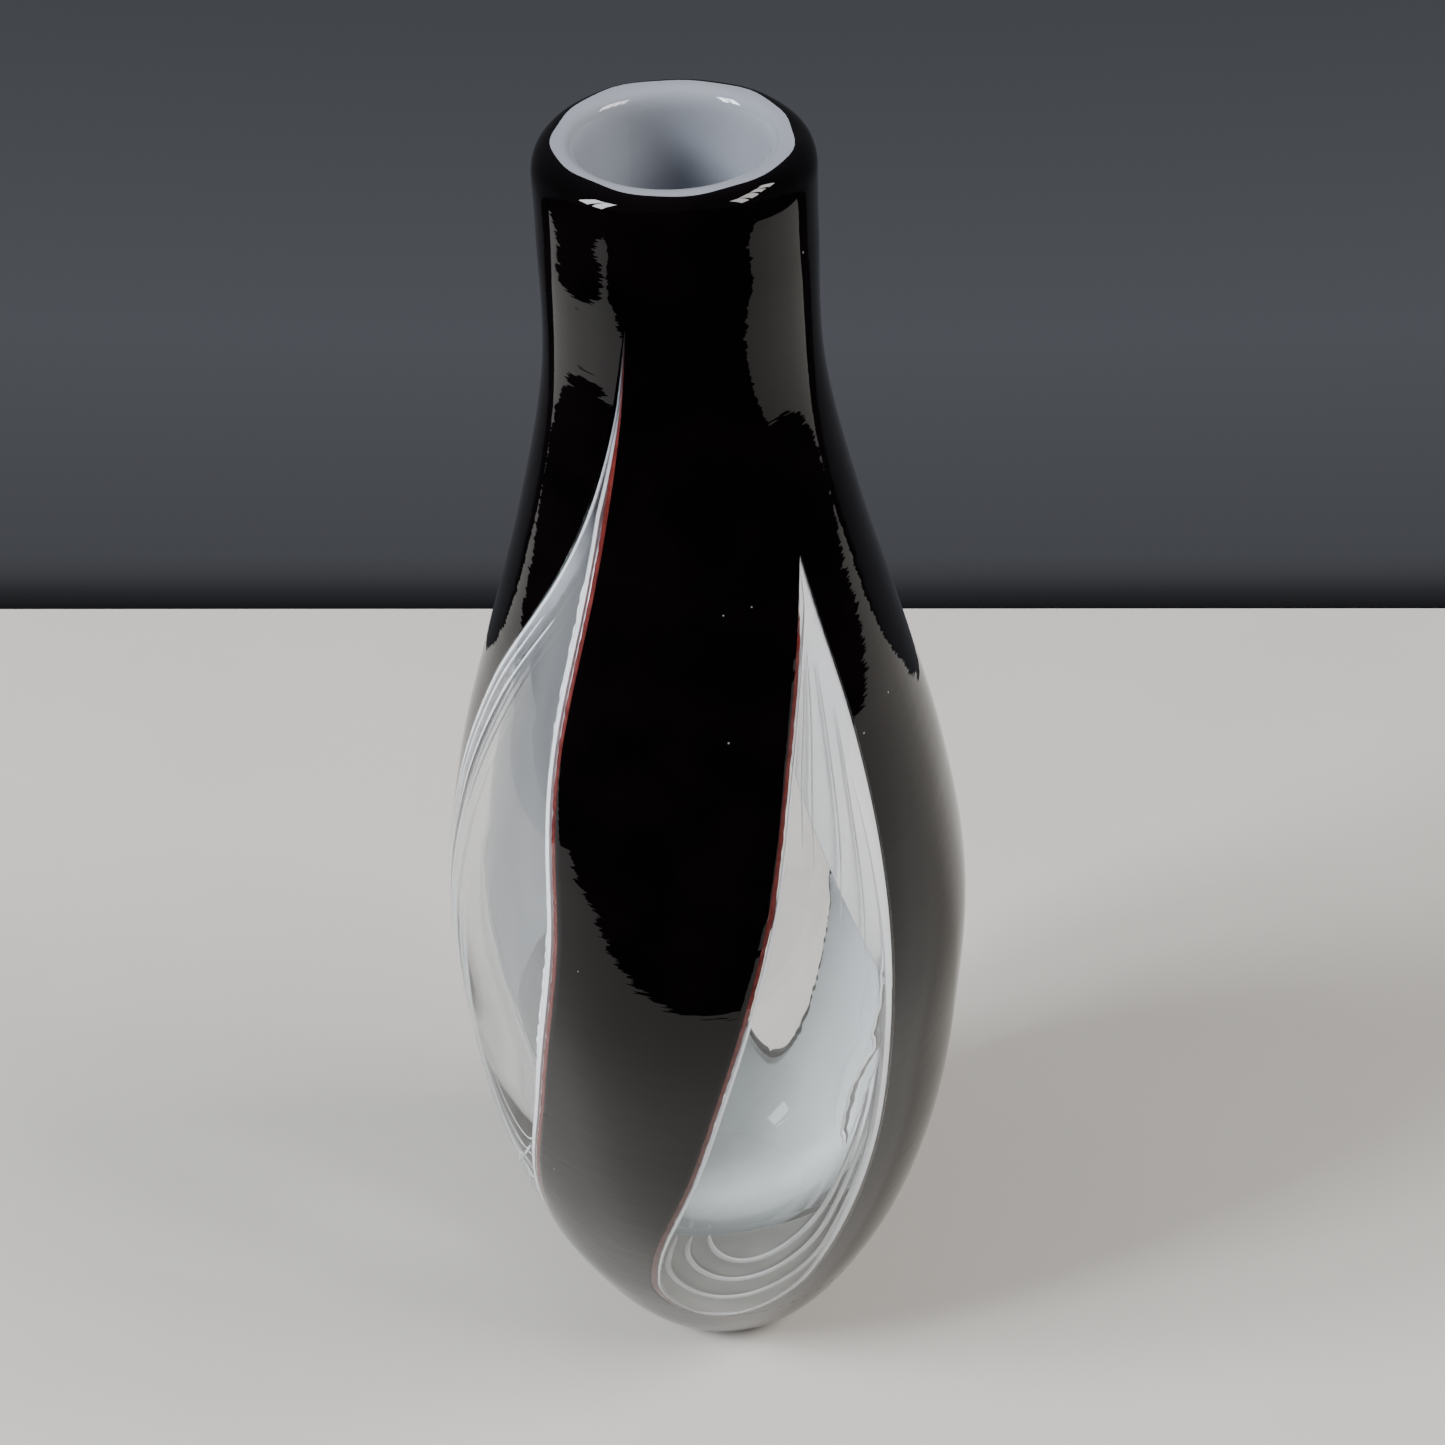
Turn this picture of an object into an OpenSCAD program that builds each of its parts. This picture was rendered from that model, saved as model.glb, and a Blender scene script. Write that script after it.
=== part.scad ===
/* [Body] */
// Overall height of the vase
vase_h = 250; // [245:1:256]
// Radius of the flat face it stands on
foot_r = 20.5; // [19.5:0.5:21.5]
// Outer radius just above the foot
heel_r = 25.8; // [25:0.2:26.6]
// Outer radius where the body leaves the heel
low_r = 31.5; // [30.9:0.2:32.1]
// Outer radius at the foot of the swelling
rise_r = 37.6; // [37:0.2:38.2]
// Outer radius under the widest part
belly_r = 42.3; // [41.8:0.2:42.8]
// Outer radius of the widest part
swell_r = 44.7; // [44.2:0.2:45.2]
// Outer radius where the shoulder begins
shoulder_r = 40.1; // [39.5:0.2:40.7]
// Outer radius half way up the shoulder
slope_r = 33.2; // [32.6:0.2:33.8]
// Outer radius at the top of the shoulder
throat_r = 25.9; // [25.3:0.2:26.5]
// Outer radius at the bottom of the neck
neck_r = 20.3; // [19.9:0.2:20.7]
// Outer radius just under the lip
lip_r = 19.2; // [19:0.1:19.5]
// Height of the rounded lip
lip_h = 4.5; // [3.5:0.5:5.5]

/* [Glass layers] */
// Black glass thickness at the lip
black_lip = 3.0; // [2.7:0.1:3.2]
// Black glass thickness on the body
black_body = 2.2; // [1.9:0.1:2.5]
// Black glass thickness at the heel
black_heel = 1.6; // [1.4:0.1:1.9]
// Black glass thickness under the foot
black_floor = 3.0; // [2.5:0.25:3.5]
// White opal thickness at the lip
opal_lip = 3.3; // [3:0.1:3.6]
// White opal thickness on the body
opal_body = 2.9; // [2.6:0.1:3.2]
// White opal thickness at the heel
opal_heel = 1.8; // [1.6:0.1:2]
// White opal thickness under the clear heel
opal_floor = 2.0; // [1.75:0.25:2.25]
// Clear glass inside the opal at the heel
heel_clear = 4.4; // [4:0.2:4.8]
// Height of the cavity floor above the table
cavity_floor = 15; // [14:0.5:16]

/* [Tall windows] */
// Height of the pointed tip
tall_tip = 234; // [231:1:236]
// Turn of the window centre at its foot
tall_turn_0 = -73.5; // [-76:0.5:-71]
// Turn of the window centre at one sixth of its height
tall_turn_1 = -71; // [-73:0.5:-69]
// Turn of the window centre at two sixths
tall_turn_2 = -65.7; // [-67.2:0.5:-64.2]
// Turn of the window centre at three sixths
tall_turn_3 = -61.3; // [-62.8:0.5:-59.8]
// Turn of the window centre at four sixths
tall_turn_4 = -57; // [-58:0.2:-55]
// Turn of the window centre at five sixths
tall_turn_5 = -37; // [-39:0.5:-35]
// Turn of the pointed tip
tall_turn_6 = -22; // [-24:0.5:-20]
// Half width of the window at its foot, as an angle
tall_half_0 = 14; // [13:0.5:15]
// Half width at one sixth of the height
tall_half_1 = 20; // [19:0.5:21]
// Half width at two sixths
tall_half_2 = 25.2; // [24.2:0.5:26.2]
// Half width at three sixths
tall_half_3 = 26.3; // [25.3:0.5:27.3]
// Half width at four sixths
tall_half_4 = 18.1; // [17.1:0.5:19.1]
// Half width at five sixths
tall_half_5 = 5.4; // [5:0.2:6]

/* [Short window] */
// Height of the pointed tip
short_tip = 195; // [193:1:197]
// Turn of the window centre at its foot
short_turn_0 = -3; // [-5:1:-1]
// Turn of the window centre at one sixth of its height
short_turn_1 = 6.2; // [5:0.2:8]
// Turn of the window centre at two sixths
short_turn_2 = 15.6; // [14:0.2:17]
// Turn of the window centre at three sixths
short_turn_3 = 21.2; // [20:0.2:23]
// Turn of the window centre at four sixths
short_turn_4 = 27.8; // [26:0.2:29]
// Turn of the window centre at five sixths
short_turn_5 = 33.4; // [32:0.2:35]
// Turn of the pointed tip
short_turn_6 = 38.4; // [37:0.2:40]
// Half width of the window at its foot, as an angle
short_half_0 = 21.2; // [20:0.2:22]
// Half width at one sixth of the height
short_half_1 = 24.6; // [23:0.2:26]
// Half width at two sixths
short_half_2 = 23; // [22:0.2:24]
// Half width at three sixths
short_half_3 = 19.6; // [19:0.2:21]
// Half width at four sixths
short_half_4 = 15.8; // [15:0.2:17]
// Half width at five sixths
short_half_5 = 10.6; // [10:0.2:12]

/* [Window layout] */
// Height of the round foot of every window
window_foot = 24; // [23:0.5:25]
// Height over which a window foot rounds off
window_round = 17; // [15:1:19]
// Turn of the far tall window from the near one
tall_back_turn = 230; // [226:1:234]

/* [Hidden] */
$fn = 96;
eps = 0.01;
// Stations up the body as shares of the height
station = [0.03, 0.08, 0.15, 0.24, 0.34, 0.45, 0.56, 0.66, 0.76, 0.86];
under_swell = 0.2;
radii = [heel_r, low_r, rise_r, belly_r, swell_r - under_swell, swell_r, shoulder_r, slope_r, throat_r,
    neck_r];
// The neck is slightly waisted a little below the lip
waist_z = 0.945 * vase_h;
waist_flare = 0.15;
foot_edge = 1.2;
per_span = 3;
lip_base = vase_h - lip_h;
// The lip is round outside and squarer towards the bore
lip_bore = lip_r - black_lip - opal_lip;
lip_mid = (lip_r + lip_bore) / 2;
lip_half = (lip_r - lip_bore) / 2;
// Radius on the lip where black meets white
lip_joint = lip_r - black_lip;
arc_steps = 6;
// Heights where a layer changes from heel to body and from body to lip
heel_z = 0.12 * vase_h;
body_z = 0.34 * vase_h;
upper_z = 0.70 * vase_h;
// The clear heel stops just short of where it would thin out to nothing
heel_top = 0.32 * vase_h;
wedge_r = 64;
tip_half = 0.35;
foot_half = 2.5;
row_count = 24;
black_color = [0.03, 0.02, 0.025];
opal_color = [0.88, 0.90, 0.94];
clear_color = [0.80, 0.90, 0.88, 0.4];

// ---- smooth curves ----
function clamp01(x) = min(1, max(0, x));
function ease(x) = clamp01(x) * clamp01(x) * (3 - 2 * clamp01(x));
function spline(a, b, c, d, t) =
    ((2 * b) + (c - a) * t + (2 * a - 5 * b + 4 * c - d) * t * t + (3 * b - a - 3 * c + d) * t * t * t) / 2;
function at(list, i) = i < 0 ? 2 * list[0] - list[1]
    : i > len(list) - 1 ? 2 * list[len(list) - 1] - list[len(list) - 2] : list[i];
function through(list, u) = let (n = len(list) - 1, x = clamp01(u) * n, i = min(n - 1, floor(x)))
    spline(at(list, i - 1), at(list, i), at(list, i + 1), at(list, i + 2), x - i);
function reversed(list) = [for (i = [len(list) - 1 : -1 : 0]) list[i]];

// ---- thickness of each layer at a height ----
function blend(z, heel, body, lip) =
    heel + (body - heel) * ease((z - heel_z) / (body_z - heel_z))
    + (lip - body) * ease((z - upper_z) / (lip_base - upper_z));
function black_t(z) = blend(z, black_heel, black_body, black_lip);
function opal_t(z) = blend(z, opal_heel, opal_body, opal_lip);
function clear_t(z) = heel_clear * (1 - ease((z - heel_z) / (body_z - heel_z)));

// ---- section curves, each listed from the bottom up as [radius, height] ----
side = [for (i = [0 : len(station) - 1]) [radii[i], station[i] * vase_h]];
side_all = concat([[foot_r, 0]], side, [[lip_r + waist_flare, waist_z], [lip_r, lip_base]]);
steps = (len(side_all) - 1) * per_span;
wall = [for (k = [1 : steps]) through(side_all, k / steps)];
outer_curve = concat([[foot_r - foot_edge, 0], [foot_r, foot_edge / 2]], wall);
// Only the wall above the heel station carries the inner curves
upper_wall = [for (p = wall) if (p[1] > station[0] * vase_h) p];
inner_wall = [for (p = wall) if (p[1] > station[2] * vase_h - eps) p];
black_foot = [[0, black_floor], [foot_r - 3 * foot_edge, black_floor],
    [foot_r - foot_edge, black_floor + foot_edge]];
black_in = concat(black_foot, [for (p = upper_wall) [p[0] - black_t(p[1]), p[1]]]);
opal_floor_z = black_floor + opal_floor;
opal_foot = [[0, opal_floor_z], [foot_r - 5 * foot_edge, opal_floor_z],
    [foot_r - 3 * foot_edge, opal_floor_z + foot_edge / 2]];
opal_in = concat(opal_foot, [for (p = upper_wall) [p[0] - black_t(p[1]) - opal_t(p[1]), p[1]]]);
function cavity_at(p) = [p[0] - black_t(p[1]) - opal_t(p[1]) - clear_t(p[1]), p[1]];
bowl_rim = cavity_at(inner_wall[0]);
bowl_steps = 8;
bowl_slack = 0.02;
// The cavity ends in a round bowl, a little slimmer than a half ellipse
function bowl_r(a) = bowl_rim[0] * sin(a) * (1 - bowl_slack * sin(2 * a));
function bowl_z(a) = cavity_floor + (bowl_rim[1] - cavity_floor) * (1 - cos(a));
bowl_angles = [for (i = [0 : bowl_steps - 1]) 90 * i / bowl_steps];
bowl = [for (a = bowl_angles) [bowl_r(a), bowl_z(a)]];
cavity = concat(bowl, [for (p = inner_wall) cavity_at(p)]);

// ---- rounded lip, shared by the layers ----
function squarer(a) = a > 90 ? 0.6 : 1;
function lip_point(a) = [lip_mid + lip_half * sign(cos(a)) * pow(abs(cos(a)), squarer(a)),
    lip_base + lip_h * pow(sin(a), squarer(a))];
joint_angle = acos((lip_joint - lip_mid) / lip_half);
lip_outside = [for (i = [1 : arc_steps]) lip_point(joint_angle * i / arc_steps)];
lip_inside = [for (i = [0 : arc_steps]) lip_point(joint_angle + (180 - joint_angle) * i / arc_steps)];

module section_black() {
    polygon(concat([[0, 0]], outer_curve, lip_outside, reversed(black_in)));
}

module section_opal() {
    polygon(concat(black_in, lip_inside, reversed([for (p = opal_in) if (p[1] < lip_base - eps) p])));
}

module section_heel() {
    outside = [for (p = opal_in) if (p[1] < heel_top) p];
    inside = [for (p = cavity) if (p[1] < heel_top) p];
    polygon(concat(outside, reversed(inside)));
}

module section_wall() {
    polygon(concat(outer_curve, reversed([for (p = cavity) if (p[0] > eps) p])));
}

// ---- window outlines ----
tall_turn = [tall_turn_0, tall_turn_1, tall_turn_2, tall_turn_3, tall_turn_4, tall_turn_5,
    tall_turn_6];
tall_half = [tall_half_0, tall_half_1, tall_half_2, tall_half_3, tall_half_4, tall_half_5, 0];
short_turn = [short_turn_0, short_turn_1, short_turn_2, short_turn_3, short_turn_4, short_turn_5,
    short_turn_6];
short_half = [short_half_0, short_half_1, short_half_2, short_half_3, short_half_4, short_half_5, 0];
function round_off(z) = sqrt(1 - pow(1 - clamp01((z - window_foot) / window_round), 2));
function row_z(i, tip) = let (u = i / row_count, foot_u = 0.25)
    u < foot_u ? window_foot + window_round * pow(u / foot_u, 2)
    : window_foot + window_round + (tip - window_foot - window_round) * (u - foot_u) / (1 - foot_u);
function half_at(half, z, tip) = let (u = (z - window_foot) / (tip - window_foot))
    max(z < window_foot + window_round ? foot_half : tip_half, through(half, u) * round_off(z));
function turn_at(turn, z, tip) = through(turn, (z - window_foot) / (tip - window_foot));
function edge_point(a, z) = [wedge_r * sin(a), -wedge_r * cos(a), z];

module window_wedge(turn, half, tip, extra) {
    n = row_count;
    zs = [for (i = [0 : n]) row_z(i, tip)];
    axis_pts = [for (z = zs) [0, 0, z]];
    left_pts = [for (z = zs) edge_point(turn_at(turn, z, tip) + extra - half_at(half, z, tip), z)];
    right_pts = [for (z = zs) edge_point(turn_at(turn, z, tip) + extra + half_at(half, z, tip), z)];
    l = n + 1;
    r = 2 * (n + 1);
    ends = [[0, l, r], [n, r + n, l + n]];
    left_faces = [for (i = [0 : n - 1]) each [[i, i + 1, l + i + 1], [i, l + i + 1, l + i]]];
    right_faces = [for (i = [0 : n - 1]) each [[i, r + i + 1, i + 1], [i, r + i, r + i + 1]]];
    front_faces = [for (i = [0 : n - 1]) each [[l + i, l + i + 1, r + i + 1], [l + i, r + i + 1, r + i]]];
    faces = concat(ends, left_faces, right_faces, front_faces);
    polyhedron(points = concat(axis_pts, left_pts, right_pts), faces = faces);
}

module tall_wedge(extra) {
    window_wedge(tall_turn, tall_half, tall_tip, extra);
}

module short_wedge(extra) {
    window_wedge(short_turn, short_half, short_tip, extra);
}

module all_wedges() {
    tall_wedge(0);
    short_wedge(0);
    tall_wedge(tall_back_turn);
}

module whole_wall() {
    rotate_extrude() section_wall();
}

// ---- pieces ----
module black_overlay() {
    color(black_color)
    difference() {
        rotate_extrude() section_black();
        all_wedges();
    }
}

module opal_layer() {
    color(opal_color)
    difference() {
        rotate_extrude() section_opal();
        all_wedges();
    }
}

module clear_heel() {
    color(clear_color)
    difference() {
        rotate_extrude() section_heel();
        all_wedges();
    }
}

module window_tall_front() {
    color(clear_color)
    intersection() {
        whole_wall();
        tall_wedge(0);
    }
}

module window_short_front() {
    color(clear_color)
    intersection() {
        whole_wall();
        short_wedge(0);
    }
}

module window_tall_back() {
    color(clear_color)
    intersection() {
        whole_wall();
        tall_wedge(tall_back_turn);
    }
}

black_overlay();
opal_layer();
clear_heel();
window_tall_front();
window_short_front();
window_tall_back();
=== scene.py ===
import math

import bmesh
import bpy
import numpy as np
from mathutils import Matrix, Vector


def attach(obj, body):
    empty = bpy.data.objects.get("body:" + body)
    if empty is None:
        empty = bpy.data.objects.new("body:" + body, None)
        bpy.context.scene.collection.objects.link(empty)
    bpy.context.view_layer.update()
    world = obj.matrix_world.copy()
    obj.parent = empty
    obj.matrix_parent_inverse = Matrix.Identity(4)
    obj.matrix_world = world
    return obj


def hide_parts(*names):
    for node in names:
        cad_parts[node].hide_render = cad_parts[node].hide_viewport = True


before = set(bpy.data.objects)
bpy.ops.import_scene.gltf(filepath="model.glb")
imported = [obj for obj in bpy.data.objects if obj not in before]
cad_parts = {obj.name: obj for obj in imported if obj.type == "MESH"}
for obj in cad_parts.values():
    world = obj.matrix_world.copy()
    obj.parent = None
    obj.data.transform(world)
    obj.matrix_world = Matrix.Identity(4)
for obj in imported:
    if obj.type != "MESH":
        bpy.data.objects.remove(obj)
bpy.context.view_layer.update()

MM = 0.001

# ---- driving dimensions of the turned body, in metres ----
VASE_H = 250 * MM
FOOT_R = 20.5 * MM
FOOT_EDGE = 1.2 * MM
# Stations of the outline between foot and lip: shares of the height, and radii in millimetres
STATION_Z = [0.03, 0.08, 0.15, 0.24, 0.34, 0.45, 0.56, 0.66, 0.76, 0.86, 0.945]
STATION_R = [25.8, 31.5, 37.6, 42.3, 44.5, 44.7, 40.1, 33.2, 25.9, 20.3, 19.35]
LIP_R = 19.2 * MM
LIP_H = 4.5 * MM
LIP_BASE = VASE_H - LIP_H

# ---- glass layers: thickness at the heel, on the body and at the lip ----
BLACK = (1.6 * MM, 2.2 * MM, 3.0 * MM)
OPAL = (1.8 * MM, 2.9 * MM, 3.3 * MM)
HEEL_CLEAR = 4.4 * MM
BLACK_FLOOR = 3 * MM
OPAL_FLOOR = 2 * MM
CAVITY_FLOOR = 15 * MM
HEEL_Z = 0.12 * VASE_H
BODY_Z = 0.34 * VASE_H
UPPER_Z = 0.70 * VASE_H
BOWL_Z = 0.15 * VASE_H
HEEL_TOP = 77 * MM
# The clear heel thins out to nothing over this height below its top
HEEL_FADE = 6 * MM

# ---- windows: tip height, turn of the centre and half width from foot to tip, in degrees ----
WINDOW_FOOT = 24 * MM
WINDOW_ROUND = 17 * MM
TALL = dict(
    tip=234 * MM,
    turn=[-73.5, -71, -65.7, -61.3, -57, -37, -22],
    half=[14, 20, 25.2, 26.3, 18.1, 5.4, 0],
)
SHORT = dict(
    tip=195 * MM,
    turn=[-3, 6.2, 15.6, 21.2, 27.8, 33.4, 38.4],
    half=[21.2, 24.6, 23, 19.6, 15.8, 10.6, 0],
)
# In order of turn round the body: node name, outline, turn from the front one
WINDOWS = [
    ("window_tall_front", TALL, 0),
    ("window_short_front", SHORT, 0),
    ("window_tall_back", TALL, 230),
]

# How far a clear piece reaches into the opaque glass it is fused to, so that no gap mirrors light
BITE = 0.06 * MM
# Where the slope of a layer's edge breaks, as shares of its reach and of its depth
BLACK_BREAK = (0.8, 0.25)
OPAL_BREAK = (0.9, 0.6)

# The red edge of the black narrows to nothing over this height below a window's tip
TIP_FADE = 16 * MM
# The far window goes through to the cavity above this height, and stops on the clear heel below it
FAR_HEEL_Z = 66 * MM
FAR_HEEL_FADE = 10 * MM

# ---- how finely the meshes are divided ----
WINDOW_COLS = 26
BAND_COLS = 32
LIP_ROWS = 12
FOOT_ROWS = 24
UPPER_ROWS = 190
SHEET_ROWS = 25
THREAD_SIDES = 6
# Points closer than this are one point
WELD = 2e-6


# ---- smooth curves ----
def spline(a, b, c, d, t):
    return 0.5 * (2 * b + (c - a) * t + (2 * a - 5 * b + 4 * c - d) * t**2 + (3 * b - a - 3 * c + d) * t**3)


def through(values, u):
    """A smooth curve through evenly spaced values, at u from 0 to 1."""
    v = [2 * values[0] - values[1], *values, 2 * values[-1] - values[-2]]
    n = len(values) - 1
    x = min(max(u, 0), 1) * n
    i = min(int(x), n - 1)
    return spline(v[i], v[i + 1], v[i + 2], v[i + 3], x - i)


def ease(x):
    x = min(max(x, 0), 1)
    return x * x * (3 - 2 * x)


def outer_table():
    zs = [0.0, *[z * VASE_H for z in STATION_Z], LIP_BASE]
    rs = [FOOT_R, *[r * MM for r in STATION_R], LIP_R]
    u = np.linspace(0, 1, 700)
    return np.array([through(zs, k) for k in u]), np.array([through(rs, k) for k in u])


OUTER_Z, OUTER_R = outer_table()


def outer_r(z):
    return float(np.interp(z, OUTER_Z, OUTER_R))


def layer_t(z, layer):
    heel, body, lip = layer
    return (
        heel
        + (body - heel) * ease((z - HEEL_Z) / (BODY_Z - HEEL_Z))
        + (lip - body) * ease((z - UPPER_Z) / (LIP_BASE - UPPER_Z))
    )


def clear_t(z):
    return HEEL_CLEAR * (1 - ease((z - HEEL_Z) / (BODY_Z - HEEL_Z)))


def black_in_r(z):
    return outer_r(z) - layer_t(z, BLACK)


def opal_in_r(z):
    return black_in_r(z) - layer_t(z, OPAL)


def cavity_r(z):
    if z >= BOWL_Z:
        return opal_in_r(z) - clear_t(z)
    a = math.acos(max(-1, 1 - (z - CAVITY_FLOOR) / (BOWL_Z - CAVITY_FLOOR)))
    rim = opal_in_r(BOWL_Z) - clear_t(BOWL_Z)
    return rim * math.sin(a) * (1 - 0.02 * math.sin(2 * a))


# ---- the rounded lip ----
LIP_BORE = LIP_R - BLACK[2] - OPAL[2]
LIP_MID = (LIP_R + LIP_BORE) / 2
LIP_HALF = (LIP_R - LIP_BORE) / 2
LIP_JOINT = LIP_R - BLACK[2]


def lip_point(a):
    """The lip is round outside and squarer towards the bore."""
    power = 0.6 if a > math.pi / 2 else 1
    across = math.copysign(abs(math.cos(a)) ** power, math.cos(a))
    return LIP_MID + LIP_HALF * across, LIP_BASE + LIP_H * max(math.sin(a), 0) ** power


def lip_arc(a1):
    """Points along the rounded lip from angle a1 to where black meets white."""
    a0 = math.acos((LIP_JOINT - LIP_MID) / LIP_HALF)
    return [lip_point(a1 + (a0 - a1) * i / LIP_ROWS) for i in range(LIP_ROWS + 1)]


def lip_wobble(a, r, z):
    """The hand-trimmed line between black and white on top of the lip."""
    near = max(0, 1 - abs(r - LIP_JOINT) / (2.2 * MM)) * ease((z - LIP_BASE) / LIP_H)
    line = 0.3 * math.sin(2 * a + 0.6) + 0.22 * math.sin(5 * a + 2.2) + 0.12 * math.sin(11 * a)
    return line * MM * near


# ---- window outlines ----
def bump(x, centre, width):
    return math.exp(-(((x - centre) / width) ** 2))


def ragged(z, seed):
    """A small fixed jitter along a window edge, in metres."""
    a = math.sin(z * 1310 + seed) * math.sin(z * 2170 + 2.1 * seed)
    return (a + 0.6 * math.sin(z * 3900 + 3.3 * seed)) * 0.11 * MM


def edge_reach(window, side, z):
    """How far the inner side of the black, then the outer and the inner side of the opal, reach into a
    window, in millimetres. The black thins out to red along the two edges that face the front band."""
    h = z / VASE_H
    if window[0] == "window_tall_back":
        return {"black": 0.9, "under": 0.0, "opal": 0.0}
    if window[1] is TALL and side == "left":
        return {"black": 0.1, "under": 0.1, "opal": 1.5}
    if window[1] is TALL:
        return {"black": 1.1, "under": 1.1, "opal": 2.2 + 1.9 * ease((h - 0.3) / 0.14)}
    if side == "left":
        black = 1.1 + 0.9 * bump(h, 0.56, 0.008)
        return {"black": black, "under": black, "opal": black + 0.5}
    return {"black": 0.1, "under": 0.1, "opal": 1.3 + 3.0 * bump(h, 0.63, 0.08)}


# The same for the foot of a window. The opal under the far one stands back behind the black.
# RAGGED is how much of the jitter each layer's edge has. The far window's edges have more of it.
FOOT_REACH = {"black": 0.15, "under": 0.15, "opal": 0.6}
BACK_FOOT_REACH = {"black": 1.6, "under": 0.2, "opal": 0.2}
RAGGED = {"black": 0.8, "under": 0.8, "opal": 1.5}
FAR_RAGGED = 2.2


def window_edges(window, z, layer=None):
    """(left, right) of a window at a height, in degrees. A layer's inner side reaches in a little further."""
    name, outline, extra = window
    foot, tip = WINDOW_FOOT, outline["tip"]
    u = (min(max(z, foot), tip) - foot) / (tip - foot)
    rises = BACK_FOOT_REACH if name == "window_tall_back" else FOOT_REACH
    rise = rises[layer] * MM if layer else 0
    k = min(max((z - foot - rise) / WINDOW_ROUND, 0), 1)
    half = max(through(outline["half"], u), 0) * math.sqrt(1 - (1 - k) ** 2)
    turn = through(outline["turn"], u) + extra
    if not layer:
        return turn - half, turn + half
    degrees = math.degrees(ease(k * 2) / outer_r(z))
    jitter = ragged(z, len(name)) * RAGGED[layer]
    if name == "window_tall_back":
        jitter *= FAR_RAGGED
    narrow = ease((tip - z) / TIP_FADE) if layer != "opal" else 1
    in_left = min((edge_reach(window, "left", z)[layer] * MM * narrow + jitter) * degrees, half)
    in_right = min((edge_reach(window, "right", z)[layer] * MM * narrow - jitter) * degrees, half)
    return turn - half + in_left, turn + half - in_right


def foot_line(window, step, top_left, top_right):
    """One of the fine white lines nested in a window's foot, as (turn, height) points."""
    outline, extra = window[1], window[2]
    # The lines lie a little closer together higher up
    foot = WINDOW_FOOT + (2.5 + 9.8 * step - 0.5 * step**2) * MM
    tip = outline["tip"]

    def side_point(z, sign):
        u = (z - WINDOW_FOOT) / (tip - WINDOW_FOOT)
        k = min(max((z - foot) / (WINDOW_ROUND * 0.9), 0), 1)
        # On the right the lines draw together on their way up
        away = (2.6 - 1.5 * ease((z - 50 * MM) / (50 * MM)) * (sign > 0)) * step * MM
        half = through(outline["half"], u) - math.degrees(away / outer_r(z))
        return through(outline["turn"], u) + extra + sign * half * math.sqrt(1 - (1 - k) ** 2), z

    n = 30
    left = [side_point(foot + (top_left - foot) * (i / n) ** 2, -1) for i in range(n, 0, -1)]
    right = [side_point(foot + (top_right - foot) * (i / n) ** 2, 1) for i in range(n + 1)]
    return left + right


def wall_heights():
    """Heights of the rows of the wall: dense where the window feet round off."""
    foot = [WINDOW_FOOT + WINDOW_ROUND * (i / FOOT_ROWS) ** 2 for i in range(FOOT_ROWS + 1)]
    low = list(np.linspace(FOOT_R * 0.35, WINDOW_FOOT, 9)[:-1])
    high = list(np.linspace(foot[-1], LIP_BASE, UPPER_ROWS)[1:])
    tips = [TALL["tip"], SHORT["tip"]]
    return sorted(low + foot + high + tips)


WALL_Z = wall_heights()


def ripple(phi, z):
    """The slight unevenness of hand-worked glass, as a change of radius."""
    a = math.radians(phi)
    slow = math.sin(3 * a + 41 * z) * math.sin(2 * a - 63 * z + 1.3)
    mid = math.sin(7 * a + 118 * z + 0.7) * math.sin(5 * a - 97 * z)
    fade = ease((LIP_BASE - z) / (30 * MM)) * ease((z - 6 * MM) / (12 * MM))
    return (0.07 * slow + 0.025 * mid) * MM * fade


def point(phi, r, z, wavy=0.0):
    """A point at a turn in degrees, a radius and a height, with that share of the ripple."""
    a = math.radians(phi)
    r = r + wavy * ripple(phi, z) + lip_wobble(a, r, z)
    return Vector((r * math.sin(a), -r * math.cos(a), z))


def make_mesh(name, verts, faces, materials, slots=None, sharp=35):
    """A closed mesh object with its faces turned outwards. sharp is in degrees."""
    me = bpy.data.meshes.new(name)
    me.from_pydata([tuple(v) for v in verts], [], faces)
    for m in materials:
        me.materials.append(m)
    if slots:
        for p, s in zip(me.polygons, slots):
            p.material_index = s
    bm = bmesh.new()
    bm.from_mesh(me)
    bmesh.ops.remove_doubles(bm, verts=bm.verts, dist=WELD)
    bmesh.ops.dissolve_degenerate(bm, edges=bm.edges, dist=WELD)
    bmesh.ops.holes_fill(bm, edges=[e for e in bm.edges if e.is_boundary], sides=0)
    bmesh.ops.recalc_face_normals(bm, faces=bm.faces)
    if bm.calc_volume(signed=True) < 0:
        bmesh.ops.reverse_faces(bm, faces=bm.faces)
    bm.to_mesh(me)
    bm.free()
    for p in me.polygons:
        p.use_smooth = True
    me.set_sharp_from_angle(angle=math.radians(sharp))
    ob = bpy.data.objects.new(name, me)
    bpy.context.scene.collection.objects.link(ob)
    return ob


# ---- the layers that go all the way round, with an opening for each window ----
CELLS = WINDOW_COLS + BAND_COLS
TOTAL = len(WINDOWS) * CELLS


def columns(z, layer):
    """Turn of every column at a height. They follow the window edges: a window, a band, and so on round."""
    turns = []
    edges = [e for window in WINDOWS for e in window_edges(window, z, layer)]
    edges.append(edges[0] + 360)
    for k in range(len(edges) - 1):
        count = BAND_COLS if k % 2 else WINDOW_COLS
        turns += [edges[k] + (edges[k + 1] - edges[k]) * j / count for j in range(count)]
    return turns


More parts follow.
